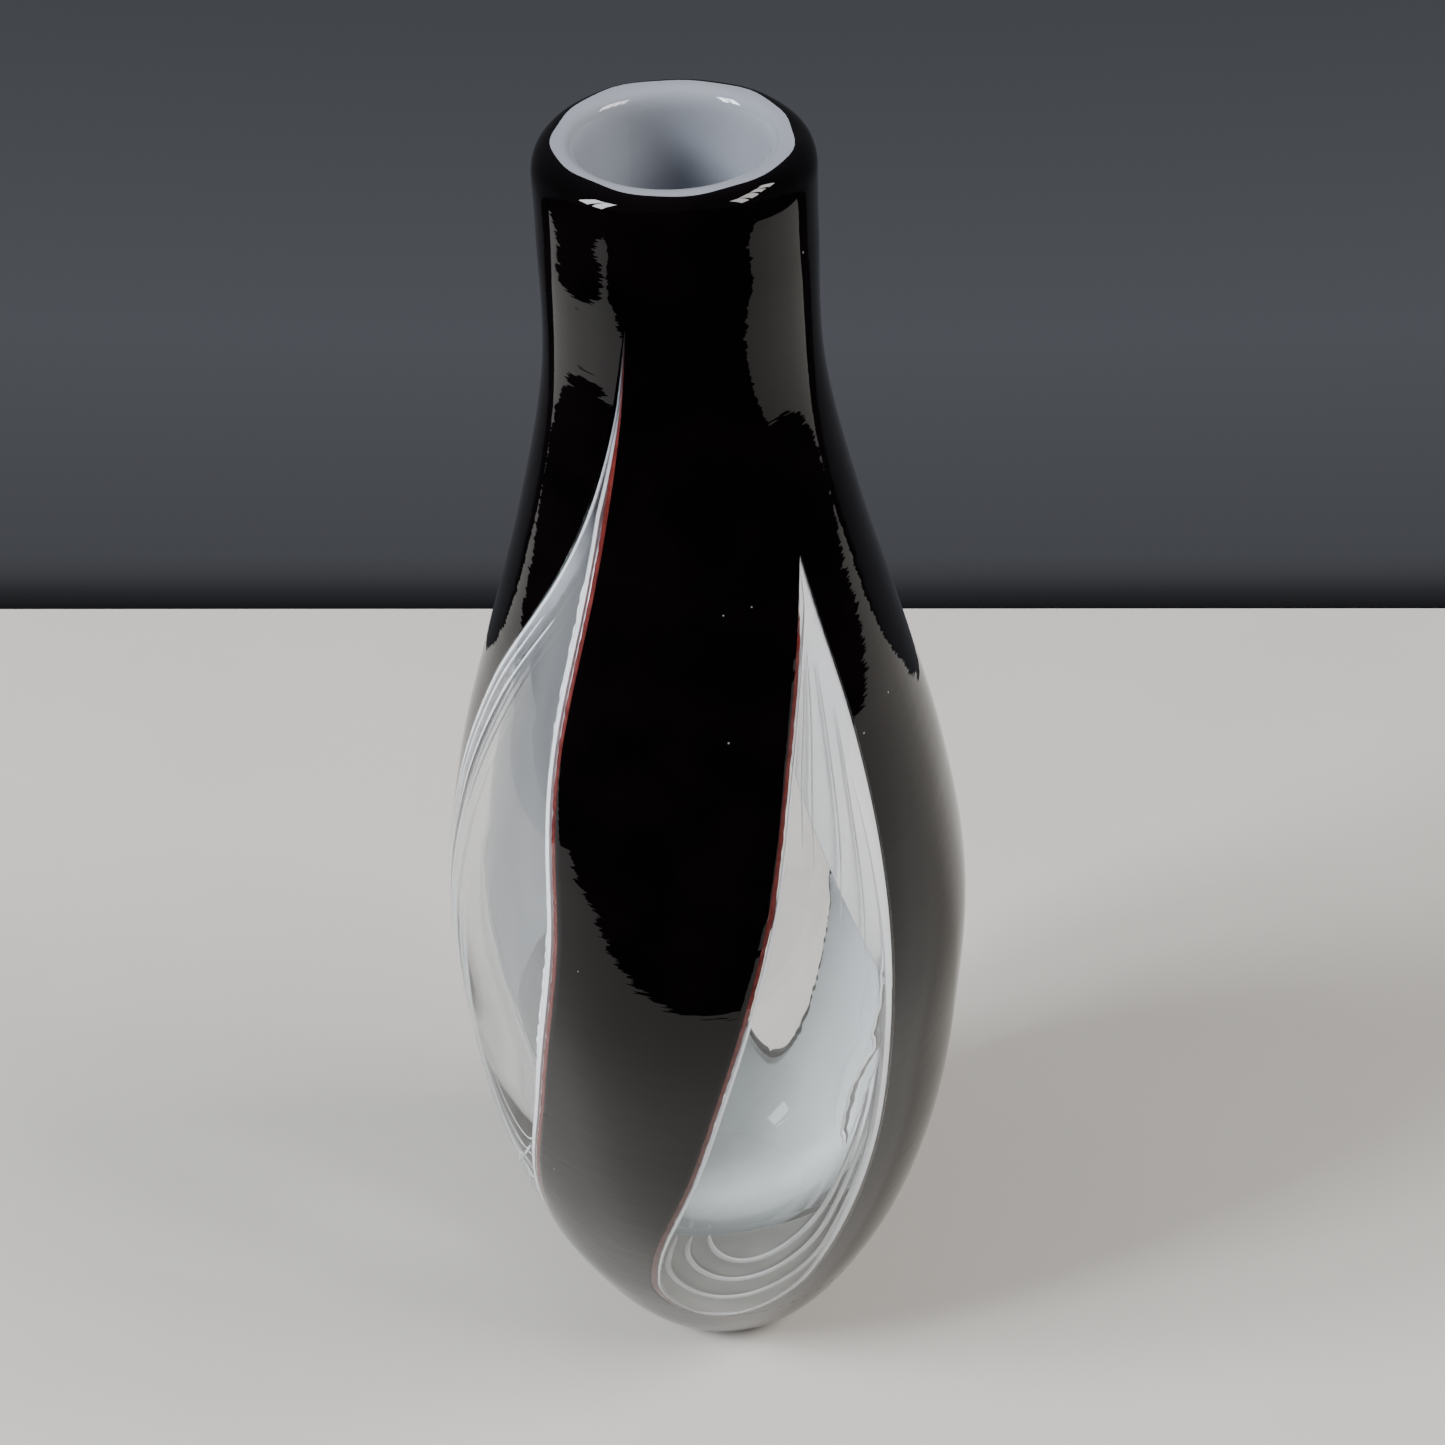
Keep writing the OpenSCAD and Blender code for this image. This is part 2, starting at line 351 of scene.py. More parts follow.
def between(p, q, turn_share, depth_share):
    """A point between two others, with separate shares of the way round and of the way in."""
    a0, a1 = math.atan2(p.y, p.x), math.atan2(q.y, q.x)
    step = (a1 - a0 + math.pi) % (2 * math.pi) - math.pi
    a = a0 + step * turn_share
    r0, r1 = math.hypot(p.x, p.y), math.hypot(q.x, q.y)
    r = r0 + (r1 - r0) * depth_share
    return Vector((r * math.cos(a), r * math.sin(a), p.z + (q.z - p.z) * depth_share))


def pierced_layer(rows, layers=(None, None), wavy=(0, 0), edge_break=BLACK_BREAK, pierced=(0, 1, 2)):
    """A closed shell of revolution, with the listed windows open, as (verts, faces, slots).
    rows are (outer radius, outer z, inner radius, inner z) from the bottom up. layers name the reach of
    the outer and of the inner side into the windows, and wavy is the share of the ripple on each."""
    verts, faces, slots = [], [], []
    for ro, zo, ri, zi in rows:
        verts += [point(t, ro, zo, wavy[0]) for t in columns(zo, layers[0])]
        verts += [point(t, ri, zi, wavy[1]) for t in columns(zi, layers[1])]

    def v(i, side, j):
        return (2 * i + side) * TOTAL + j % TOTAL

    def is_open(i, j):
        """True if the cell above row i and after column j is inside a window."""
        window, cell = divmod(j % TOTAL, CELLS)
        z = 0.5 * (rows[i][1] + rows[i + 1][1])
        return window in pierced and cell < WINDOW_COLS and WINDOW_FOOT < z < WINDOWS[window][1]["tip"]

    def is_red(i, j):
        """True for an edge where the black thins out to red, from just above the foot: the right one of a
        tall window and the left one of the short window."""
        window, cell = divmod(j % TOTAL, CELLS)
        return (cell == WINDOW_COLS) == (WINDOWS[window][1] is TALL) and rows[i][1] > WINDOW_FOOT + 4 * MM

    def side_face(i, j):
        """The slope from the outer to the inner side along a window edge, broken once on the way."""
        low, high = (v(i, 0, j), v(i, 1, j)), (v(i + 1, 0, j), v(i + 1, 1, j))
        n = len(verts)
        verts.append(between(verts[low[0]], verts[low[1]], *edge_break))
        verts.append(between(verts[high[0]], verts[high[1]], *edge_break))
        faces.append((low[0], n, n + 1, high[0]))
        faces.append((n, low[1], high[1], n + 1))
        slots.extend([1, 1] if is_red(i, j) else [0, 0])

    for i in range(len(rows) - 1):
        for j in range(TOTAL):
            if is_open(i, j):
                continue
            faces.append((v(i, 0, j), v(i, 0, j + 1), v(i + 1, 0, j + 1), v(i + 1, 0, j)))
            faces.append((v(i, 1, j), v(i + 1, 1, j), v(i + 1, 1, j + 1), v(i, 1, j + 1)))
            slots += [0, 0]
            if is_open(i, j + 1):
                side_face(i, j + 1)
            if is_open(i, j - 1):
                side_face(i, j)
    for i in (0, len(rows) - 1):
        for j in range(TOTAL):
            if not is_open(max(i - 1, 0), j):
                faces.append((v(i, 0, j), v(i, 1, j), v(i, 1, j + 1), v(i, 0, j + 1)))
                slots.append(0)
    return verts, faces, slots


def add_thread(mesh, path, width, slot=0):
    """Adds a fine glass thread to (verts, faces, slots), thinner towards both ends. path is (turn, depth,
    height) points, and width is one radius or a list with one for each point."""
    verts, faces, slots = mesh
    spots = [point(t, outer_r(z) - depth, z) for t, depth, z in path]
    first, sides, last = len(verts), THREAD_SIDES, len(spots) - 1
    for i, spot in enumerate(spots):
        ahead = (spots[min(i + 1, last)] - spots[max(i - 1, 0)]).normalized()
        out = Vector((spot.x, spot.y, 0)).normalized()
        across = ahead.cross(out).normalized()
        out = across.cross(ahead)
        size = width[i] if isinstance(width, list) else width
        size *= 0.08 + 0.92 * math.sqrt(max(math.sin(math.pi * i / last), 0))
        for k in range(sides):
            a = 2 * math.pi * k / sides
            verts.append(spot + (across * math.cos(a) + out * math.sin(a)) * size)
    for i in range(last):
        for k in range(sides):
            m, n = first + i * sides + k, first + i * sides + (k + 1) % sides
            faces.append((m, n, n + sides, m + sides))
            slots.append(slot)
    faces.append(tuple(first + k for k in range(sides))[::-1])
    faces.append(tuple(first + last * sides + k for k in range(sides)))
    slots.extend([slot, slot])


def black_rows():
    edge = FOOT_EDGE
    rows = [
        (0, 0, 0, BLACK_FLOOR),
        (FOOT_R * 0.5, 0, FOOT_R * 0.5, BLACK_FLOOR),
        (FOOT_R - edge, 0, FOOT_R - 3 * edge, BLACK_FLOOR),
        (FOOT_R - 0.3 * edge, 0.2 * edge, FOOT_R - 1.6 * edge, BLACK_FLOOR + 0.3 * edge),
        (FOOT_R + 0.15 * edge, 0.7 * edge, FOOT_R - 0.9 * edge, BLACK_FLOOR + edge),
    ]
    z0 = 2 * edge
    rows.append((outer_r(z0), z0, black_in_r(z0 * 2.2), z0 * 2.2))
    rows += [(outer_r(z), z, black_in_r(z), z) for z in WALL_Z]
    arc = lip_arc(0)
    top = arc[-1][1]
    for i, (r, z) in enumerate(arc[1:], 1):
        rows.append((r, z, LIP_JOINT, LIP_BASE + (top - LIP_BASE) * i / LIP_ROWS))
    return rows


def opal_rows():
    edge = FOOT_EDGE
    floor = BLACK_FLOOR + OPAL_FLOOR
    rows = [
        (0, BLACK_FLOOR, 0, floor),
        (FOOT_R * 0.5, BLACK_FLOOR, FOOT_R * 0.5, floor),
        (FOOT_R - 3 * edge, BLACK_FLOOR, FOOT_R - 4 * edge, floor),
        (FOOT_R - 0.9 * edge, BLACK_FLOOR + edge, FOOT_R - 2.4 * edge, floor + 0.6 * edge),
    ]
    rows += [(black_in_r(z), z, opal_in_r(z), z) for z in WALL_Z]
    arc = lip_arc(math.pi)
    top = arc[-1][1]
    for i, (r, z) in enumerate(arc[1:], 1):
        rows.append((LIP_JOINT, LIP_BASE + (top - LIP_BASE) * i / LIP_ROWS, r, z))
    return rows


def bowl_z(share):
    """Height of the bowl where its radius is that share of its rim's."""
    zs = np.linspace(CAVITY_FLOOR, BOWL_Z, 200)
    return float(np.interp(share, [cavity_r(z) / cavity_r(BOWL_Z) for z in zs], zs))


def heel_rows():
    """The clear heel: its outside bites into the opal by a hair, its inside is the bowl."""
    edge = FOOT_EDGE
    floor = BLACK_FLOOR + OPAL_FLOOR
    outside = [
        (0, floor - BITE),
        (FOOT_R * 0.45, floor - BITE),
        (FOOT_R - 4 * edge, floor - BITE),
        (FOOT_R - 2.4 * edge, floor + 0.6 * edge),
    ]
    low = [z for z in WALL_Z if z < WINDOW_FOOT]
    high = [z for z in WALL_Z if WINDOW_FOOT <= z <= HEEL_TOP]
    outside += [(opal_in_r(z) + BITE, z) for z in low]
    rim = cavity_r(BOWL_Z)
    foot_share = cavity_r(WINDOW_FOOT) / rim
    rows = []
    for i, (r, z) in enumerate(outside):
        share = foot_share * i / len(outside)
        rows.append((r, z, share * rim, bowl_z(share)))
    for z in high:
        thin = ease((HEEL_TOP - z) / HEEL_FADE)
        outer = opal_in_r(z) + BITE
        rows.append((outer, z, outer + (cavity_r(z) - outer) * thin, z))
    return rows


# ---- clear windows ----
def window_loops(window, grow):
    """Left and right outline points (turn, z) from the foot to the tip, moved outwards by grow metres."""
    tip = window[1]["tip"]
    zs = [z for z in WALL_Z if WINDOW_FOOT <= z <= tip]
    left = [(window_edges(window, z)[0], z) for z in zs]
    right = [(window_edges(window, z)[1], z) for z in zs]
    ring = left + right[::-1]
    n = len(ring)
    moved = []
    for i in range(n):
        (t0, z0), (t1, z1) = ring[(i - 1) % n], ring[(i + 1) % n]
        r = outer_r(ring[i][1])
        dx, dz = math.radians(t1 - t0) * r, z1 - z0
        length = math.hypot(dx, dz) or 1
        # outwards is to the left of a path that goes up the left edge and down the right one
        t = ring[i][0] - math.degrees(grow * dz / length / r)
        moved.append((t, ring[i][1] + grow * dx / length))
    left_out, right_out = moved[: len(zs)], moved[len(zs) :][::-1]
    return left_out, right_out


def light_in_r(z):
    """Inner radius of the far window: the cavity, or below it the clear heel that it is fused to."""
    heel = opal_in_r(z) - BITE
    return heel + (cavity_r(z) - heel) * ease((z - FAR_HEEL_Z) / FAR_HEEL_FADE)


def clear_window(window, material):
    """A clear light right through the wall, from the outer surface to the cavity or the clear heel."""
    # Each skin's share of the depth of the wall, and how far it grows past the outline
    skins = [(0.0, 0.0), (0.04, BITE), (0.96, BITE), (1.0, 0.0)]
    inside = light_in_r if window is WINDOWS[2] else cavity_r
    verts, faces = [], []
    cols = WINDOW_COLS + 1
    for depth, grow in skins:
        left, right = window_loops(window, grow)
        for (tl, zl), (tr, zr) in zip(left, right):
            for j in range(cols):
                s = j / WINDOW_COLS
                t, z = tl + (tr - tl) * s, zl + (zr - zl) * s
                ro, ri = outer_r(z), inside(z)
                r = ro + (ri - ro) * depth
                wavy = 1.0 if depth < 0.5 else -0.6
                verts.append(point(t, r, z, wavy))
    rows = len(left)

    def v(k, i, j):
        return (k * rows + i) * cols + j

    last = len(skins) - 1
    for i in range(rows - 1):
        for j in range(WINDOW_COLS):
            faces.append((v(0, i, j), v(0, i, j + 1), v(0, i + 1, j + 1), v(0, i + 1, j)))
            faces.append((v(last, i, j), v(last, i + 1, j), v(last, i + 1, j + 1), v(last, i, j + 1)))
        for k in range(last):
            for j in (0, cols - 1):
                faces.append((v(k, i, j), v(k, i + 1, j), v(k + 1, i + 1, j), v(k + 1, i, j)))
    return make_mesh("clear_" + window[0], verts, faces, [material], sharp=50)


# ---- lines, beads and films of opal in the clear glass, with painted shade ----
# Material slots of the opal piece, after the opal itself
# The dark grey slot: painted shade and painted shadow
FILM_SHADE_SLOT = 1
HAZE_SLOT = 2

# The torn fold beside the right edge of the short window: turn in degrees, share of the height
FOLD_LEFT = [
    (39.2, 0.500), (38.1, 0.474), (36.7, 0.454), (34.9, 0.434), (35.2, 0.420), (32.0, 0.408),
    (29.9, 0.394), (28.5, 0.376), (27.6, 0.351), (27.8, 0.330),
]
FOLD_RIGHT = [(39.3, 0.496), (39.4, 0.457), (38.3, 0.420), (34.3, 0.379), (31.8, 0.352), (29.0, 0.327)]


def fold_path(marks, depth, seed):
    """Points along a line of the fold, with a small fixed waver."""
    n = 60
    path = []
    for i in range(n + 1):
        t = through([m[0] for m in marks], i / n) + 0.35 * math.sin(i * 0.9 + seed) * math.sin(i * 0.37)
        z = through([m[1] for m in marks], i / n) * VASE_H
        path.append((t, depth, z))
    return path


def add_sheet(mesh, spot, thick, slot=0):
    """Adds a thin closed sheet of glass to (verts, faces, slots). spot takes the shares of the way up and
    across and gives (turn, radius, height)."""
    verts, faces, slots = mesh
    n, cols, rows = len(verts), SHEET_ROWS, SHEET_ROWS
    for depth in (0, thick):
        for i in range(rows):
            for j in range(cols):
                t, r, z = spot(i / (rows - 1), j / (cols - 1))
                verts.append(point(t, r - depth, z))

    def v(side, i, j):
        return n + (side * rows + i) * cols + j

    before = len(faces)
    for i in range(rows - 1):
        for j in range(cols - 1):
            for side in (0, 1):
                faces.append((v(side, i, j), v(side, i, j + 1), v(side, i + 1, j + 1), v(side, i + 1, j)))
        for j in (0, cols - 1):
            faces.append((v(0, i, j), v(0, i + 1, j), v(1, i + 1, j), v(1, i, j)))
    for i in (0, rows - 1):
        for j in range(cols - 1):
            faces.append((v(0, i, j), v(0, i, j + 1), v(1, i, j + 1), v(1, i, j)))
    slots.extend([slot] * (len(faces) - before))


def add_shade_film(mesh, window, top_left, top_right):
    """The opal runs out under the clear foot of a window as a thin film, coloured dark grey as painted shade.
    """
    low = WINDOW_FOOT + 1.5 * MM

    def spot(up, across):
        z = low + (top_left + (top_right - top_left) * across - low) * up**1.5
        left, right = window_edges(window, z)
        return left + (right - left) * across, opal_in_r(z) - 0.1 * MM, z

    add_sheet(mesh, spot, 0.25 * MM, FILM_SHADE_SLOT)


def add_veil(mesh, window, low, full):
    """A veil of opal close under the surface: it fills the tip of a window down to the height full, and
    from there it draws back to the right edge at the height low."""
    top = window[1]["tip"] - 1.2 * MM

    def spot(up, across):
        z = low + (top - low) * up
        left, right = window_edges(window, z)
        share = (full - z) / (full - low)
        start = 0.02 + 0.95 * min(max(share, 0), 1) ** 0.8
        share = start + (0.985 - start) * across
        depth = 0.5 + 1.2 * (1 - across) * ease((top - z) / (30 * MM))
        return left + (right - left) * share, outer_r(z) - depth * MM, z

    add_sheet(mesh, spot, 0.4 * MM)


def add_bead(mesh, window, side, width, swell, gap):
    """The opal swells to a bead close under the surface along a window edge, that far from the edge and
    with an extra swell at two thirds of the height. Sizes in millimetres."""
    tip = window[1]["tip"]
    sign = 1 if side == "left" else -1
    path, widths = [], []
    inside = [z for z in WALL_Z if WINDOW_FOOT + 0.4 * MM < z < tip - 1.5 * MM]
    for z in inside:
        left, right = window_edges(window, z)
        half = (right - left) / 2
        edge = left if side == "left" else right
        size = width + swell * bump(z / VASE_H, 0.64, 0.1)
        # No wider than the narrowing tip has room for
        size = min(size, 0.5 + (tip - z) / MM * 0.06)
        away = min(math.degrees((gap + size) * MM / outer_r(z)), half * 0.9)
        # Up a little at the foot, where the edge runs almost level
        lift = 0.5 * MM if z < WINDOW_FOOT + 6 * MM else 0
        path.append((edge + sign * away, (size + 0.2) * MM, z + lift))
        widths.append(size * MM)
    add_thread(mesh, path, widths)


def add_streak(mesh, window, share, low, high, width):
    """A fine cord of hazy glass up a window, at a share of the way from its left edge to its right."""
    path = []
    for i in range(31):
        z = low + (high - low) * i / 30
        left, right = window_edges(window, z)
        drift = 0.012 * math.sin(i * 0.2 + 9 * share)
        path.append((left + (right - left) * (share + drift), width + 0.2 * MM, z))
    add_thread(mesh, path, width, HAZE_SLOT)


def add_foot_lines(mesh):
    """Three lines nested in the foot of each front window: broad and hazy in the short one, fine and white
    in the tall one. They lie deeper from one to the next."""
    tall, short = WINDOWS[:2]
    for step in (1, 2, 3):
        depth = (0.9 + 0.9 * step) * MM
        line = foot_line(short, step, 62 * MM, (108 - 4 * step) * MM)
        add_thread(mesh, [(t, depth, z) for t, z in line], 0.9 * MM, HAZE_SLOT)
        line = foot_line(tall, step, 75 * MM, 62 * MM)
        add_thread(mesh, [(t, depth, z) for t, z in line], 0.3 * MM)


def add_shoulder_lines(mesh):
    """Two fine white lines beside the left edge of the tall window, where it leans in to its tip."""
    tall = WINDOWS[0]
    for step in (1, 2):
        zs = np.linspace(0.54, 0.73, 30) * VASE_H
        shift = [math.degrees(1.9 * step * MM / outer_r(z)) for z in zs]
        path = [(window_edges(tall, z)[0] + d, (0.6 + 0.8 * step) * MM, z) for z, d in zip(zs, shift)]
        add_thread(mesh, path, 0.28 * MM)


def add_fold(mesh):
    """The torn fold: a ragged white line with a dark one just behind it as painted shadow, and a finer line
    beyond.
    """
    add_thread(mesh, fold_path(FOLD_LEFT, 0.65 * MM, 0), 0.42 * MM)
    # The dark line is painted shadow beside the white one
    behind = [(t + 1.2, z) for t, z in FOLD_LEFT]
    add_thread(mesh, fold_path(behind, 0.95 * MM, 0.4), 0.55 * MM, FILM_SHADE_SLOT)
    add_thread(mesh, fold_path(FOLD_RIGHT, 1.6 * MM, 2), 0.25 * MM)


def add_opal_detail(mesh):
    """What the opal does inside the clear glass of the two front windows, with painted shade in the film and
    a painted shadow along the fold.
    """
    tall, short = WINDOWS[:2]
    add_foot_lines(mesh)
    add_shoulder_lines(mesh)
    add_fold(mesh)
    add_shade_film(mesh, short, 61 * MM, 63 * MM)
    add_bead(mesh, short, "right", 1.15, 0.75, 0.1)
    add_bead(mesh, short, "left", 0.3, 0, 1.1)
    add_bead(mesh, tall, "left", 0.45, 0, 0.15)
    add_bead(mesh, tall, "right", 0.7, 0, 1.0)
    add_veil(mesh, short, 116 * MM, 166 * MM)
    # Share of the way across, then the heights of both ends in millimetres
    for share, low, high in ((0.22, 150, 176), (0.34, 146, 180), (0.58, 132, 178), (0.76, 124, 170)):
        add_streak(mesh, short, share, low * MM, high * MM, 0.17 * MM)


# ---- materials ----
# How many of the cells hold a speck
SPECK_SHARE = 0.14


def principled(name, color, rough, **sockets):
    m = bpy.data.materials.new(name)
    m.use_nodes = True
    b = m.node_tree.nodes["Principled BSDF"]
    b.inputs["Base Color"].default_value = (*color, 1)
    b.inputs["Roughness"].default_value = rough
    for key, value in sockets.items():
        b.inputs[key.replace("_", " ")].default_value = value
    return m


def noise(m, scale, size, detail=2.0):
    """Noise in object coordinates, stretched by the three scales."""
    nodes, links = m.node_tree.nodes, m.node_tree.links
    place = nodes.new("ShaderNodeTexCoord")
    stretch = nodes.new("ShaderNodeMapping")
    stretch.inputs["Scale"].default_value = scale
    texture = nodes.new("ShaderNodeTexNoise")
    texture.inputs["Scale"].default_value = size
    texture.inputs["Detail"].default_value = detail
    links.new(place.outputs["Object"], stretch.inputs["Vector"])
    links.new(stretch.outputs["Vector"], texture.inputs["Vector"])
    return texture.outputs[0]


def mottle(m, height, low, high):
    """Base colour that drifts between two tones with a noise."""
    nodes, links = m.node_tree.nodes, m.node_tree.links
    ramp = nodes.new("ShaderNodeValToRGB")
    ramp.color_ramp.elements[0].position = 0.3
    ramp.color_ramp.elements[1].position = 0.7
    ramp.color_ramp.elements[0].color = (*low, 1)
    ramp.color_ramp.elements[1].color = (*high, 1)
    links.new(height, ramp.inputs[0])
    links.new(ramp.outputs[0], nodes["Principled BSDF"].inputs["Base Color"])


def relief(m, height, distance):
    """Surface relief of that depth, in metres."""
    nodes, links = m.node_tree.nodes, m.node_tree.links
    b = nodes.new("ShaderNodeBump")
    b.inputs["Strength"].default_value = 1.0
    b.inputs["Distance"].default_value = distance
    links.new(height, b.inputs["Height"])
    links.new(b.outputs["Normal"], nodes["Principled BSDF"].inputs["Normal"])


def paint_shade_by_height(m, low, high, tone):
    """Painted shade: multiplies the base colour by a darker tone that comes in between two heights, in
    metres.
    """
    nodes, links = m.node_tree.nodes, m.node_tree.links
    place = nodes.new("ShaderNodeTexCoord")
    split = nodes.new("ShaderNodeSeparateXYZ")
    span = nodes.new("ShaderNodeMapRange")
    span.inputs["From Min"].default_value = low
    span.inputs["From Max"].default_value = high
    mix = nodes.new("ShaderNodeMix")
    mix.data_type = "RGBA"
    mix.blend_type = "MULTIPLY"
    mix.inputs[7].default_value = (*tone, 1)
    base = nodes["Principled BSDF"].inputs["Base Color"]
    links.new(place.outputs["Object"], split.inputs[0])
    links.new(split.outputs["Z"], span.inputs["Value"])
    links.new(span.outputs["Result"], mix.inputs[0])
    links.new(base.links[0].from_socket, mix.inputs[6])
    links.new(mix.outputs[2], base)


def specks(m, size, reach, tone):
    """Sparse pale specks over the base colour: a dot in the middle of some of the cells."""
    nodes, links = m.node_tree.nodes, m.node_tree.links
    place = nodes.new("ShaderNodeTexCoord")
    cells = nodes.new("ShaderNodeTexVoronoi")
    cells.inputs["Scale"].default_value = size
    pick = nodes.new("ShaderNodeSeparateColor")
    chosen = nodes.new("ShaderNodeMath")
    chosen.operation = "GREATER_THAN"
    chosen.inputs[1].default_value = 1 - SPECK_SHARE
    near = nodes.new("ShaderNodeMath")
    near.operation = "LESS_THAN"
    near.inputs[1].default_value = reach
    both = nodes.new("ShaderNodeMath")
    both.operation = "MULTIPLY"
    mix = nodes.new("ShaderNodeMix")
    mix.data_type = "RGBA"
    mix.inputs[7].default_value = (*tone, 1)
    base = nodes["Principled BSDF"].inputs["Base Color"]
    links.new(place.outputs["Object"], cells.inputs["Vector"])
    links.new(cells.outputs["Color"], pick.inputs[0])
    links.new(pick.outputs[0], chosen.inputs[0])
    links.new(cells.outputs["Distance"], near.inputs[0])
    links.new(chosen.outputs[0], both.inputs[0])
    links.new(near.outputs[0], both.inputs[1])
    links.new(both.outputs[0], mix.inputs[0])
    links.new(base.links[0].from_socket, mix.inputs[6])
    links.new(mix.outputs[2], base)


def black_glass():
    m = principled("black_glass", (0.0022, 0.0012, 0.0016), 0.02, IOR=1.5, Specular_IOR_Level=0.26)
    mottle(m, noise(m, (1, 1, 1), 90), (0.0012, 0.0008, 0.0010), (0.0032, 0.0017, 0.0022))
    specks(m, 240, 0.045, (0.30, 0.30, 0.32))
    relief(m, noise(m, (1, 1, 5.5), 70, 3), 0.035 * MM)
    return m


def amethyst_edge():
    m = principled("amethyst_edge", (0.12, 0.02, 0.018), 0.08, IOR=1.5)
    mottle(m, noise(m, (1, 1, 2), 300), (0.085, 0.012, 0.011), (0.15, 0.026, 0.023))
    return m


def opal_glass():
    m = principled("opal_glass", (0.76, 0.79, 0.86), 0.08, IOR=1.5)
    mottle(m, noise(m, (1, 1, 0.6), 45, 3), (0.82, 0.84, 0.89), (0.90, 0.91, 0.94))
    relief(m, noise(m, (1, 1, 2.5), 60), 0.03 * MM)
    # Painted shade: the opal darkens from 0.19 m up, inside the neck and the mouth
    paint_shade_by_height(m, 0.19, 0.22, (0.38, 0.395, 0.43))
    # Painted shade: the opal darkens towards the bottom of the cavity, below 0.085 m
    paint_shade_by_height(m, 0.085, 0.045, (0.78, 0.785, 0.765))
    return m


def opal_film_shade():
    # Painted shade: dark grey for the film under a window foot and for the shadow line of the fold
    m = principled("opal_film_shade", (0.26, 0.28, 0.27), 0.3, IOR=1.5)
    mottle(m, noise(m, (1, 1, 1), 120, 3), (0.22, 0.24, 0.235), (0.30, 0.315, 0.31))
    return m


def opal_haze():
    m = principled("opal_haze", (0.50, 0.52, 0.53), 0.2, IOR=1.5)
    mottle(m, noise(m, (1, 1, 1), 150, 3), (0.44, 0.455, 0.465), (0.56, 0.575, 0.585))
    return m


def clear_glass():
    m = principled("clear_glass", (1, 1, 1), 0.0, IOR=1.5, Transmission_Weight=1.0)
    nt = m.node_tree
    relief(m, noise(m, (1, 1, 0.5), 80), 0.025 * MM)
    out = nt.nodes["Material Output"]
    glass = nt.nodes["Principled BSDF"]
    lamp = nt.nodes.new("ShaderNodeLightPath")
    lets = nt.nodes.new("ShaderNodeBsdfTransparent")
    lets.inputs["Color"].default_value = (0.98, 0.99, 0.985, 1)
    mix = nt.nodes.new("ShaderNodeMixShader")
    nt.links.new(lamp.outputs["Is Shadow Ray"], mix.inputs[0])
    nt.links.new(glass.outputs[0], mix.inputs[1])
    nt.links.new(lets.outputs[0], mix.inputs[2])
    nt.links.new(mix.outputs[0], out.inputs["Surface"])
    body = nt.nodes.new("ShaderNodeVolumeAbsorption")
    body.inputs["Color"].default_value = (0.78, 0.86, 0.84, 1)
    body.inputs["Density"].default_value = 13
    nt.links.new(body.outputs[0], out.inputs["Volume"])
    return m


def table_paint():
    m = principled("table_paint", (0.735, 0.70, 0.65), 0.45)
    mottle(m, noise(m, (1, 1, 1), 14, 4), (0.725, 0.69, 0.64), (0.755, 0.72, 0.67))
    relief(m, noise(m, (1, 1, 1), 900, 2), 0.02 * MM)
    return m


# ---- pieces ----
def build_vase():
    black, edge, clear = black_glass(), amethyst_edge(), clear_glass()
    whites = [opal_glass(), opal_film_shade(), opal_haze()]
    outside = pierced_layer(black_rows(), (None, "black"), (1, 0))
    lining = pierced_layer(opal_rows(), ("under", "opal"), edge_break=OPAL_BREAK)
    lining = (lining[0], lining[1], [0] * len(lining[1]))
    add_opal_detail(lining)
    heel = pierced_layer(heel_rows(), pierced=(0, 1))
    overlay = make_mesh("black_glass_overlay", *outside[:2], [black, edge], outside[2])
    pieces = [
        (overlay, "black_overlay", "black_glass"),
        (make_mesh("white_opal_layer", *lining[:2], whites, lining[2]), "opal_layer", "opal_glass"),
        (make_mesh("clear_glass_heel", *heel[:2], [clear]), "clear_heel", "clear_glass"),
    ]
    for window in WINDOWS:
        pieces.append((clear_window(window, clear), window[0], "clear_glass"))
    for piece, node, slot in pieces:
        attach(piece, "root")
        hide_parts(node)


# ---- stage ----
FAR_EDGE = 0.210
EDGE_TILT = 0.074


def table_top():
    me = bpy.data.meshes.new("table_top")
    near, left, right = -0.24, -0.415, 0.52
    corners = [
        (left, near, 0),
        (right, near, 0),
        (right, FAR_EDGE - right * EDGE_TILT, 0),
        (left, FAR_EDGE - left * EDGE_TILT, 0),
    ]
    me.from_pydata(corners, [], [(0, 1, 2, 3)])
    ob = bpy.data.objects.new("table_top", me)
    bpy.context.scene.collection.objects.link(ob)
    me.materials.append(table_paint())


def soft_lamp(name, place, aim, size, power, color):
    data = bpy.data.lights.new(name, "AREA")
    data.shape = "RECTANGLE"
    data.size, data.size_y = size
    data.energy = power
    data.color = color
    ob = bpy.data.objects.new(name, data)
    bpy.context.scene.collection.objects.link(ob)
    ob.location = place
    ob.rotation_mode = "QUATERNION"
    ob.rotation_quaternion = (Vector(aim) - Vector(place)).to_track_quat("-Z", "Y")


def lamp_row(name, place, aim, count, size, gap, power, color):
    """A window of several panes: soft lamps side by side."""
    ahead = (Vector(aim) - Vector(place)).normalized()
    across = ahead.cross(Vector((0, 0, 1))).normalized()
    for i in range(count):
        spot = Vector(place) + across * (i - (count - 1) / 2) * (size[0] + gap)
        soft_lamp(f"{name}_{i}", spot, aim, size, power / count, color)


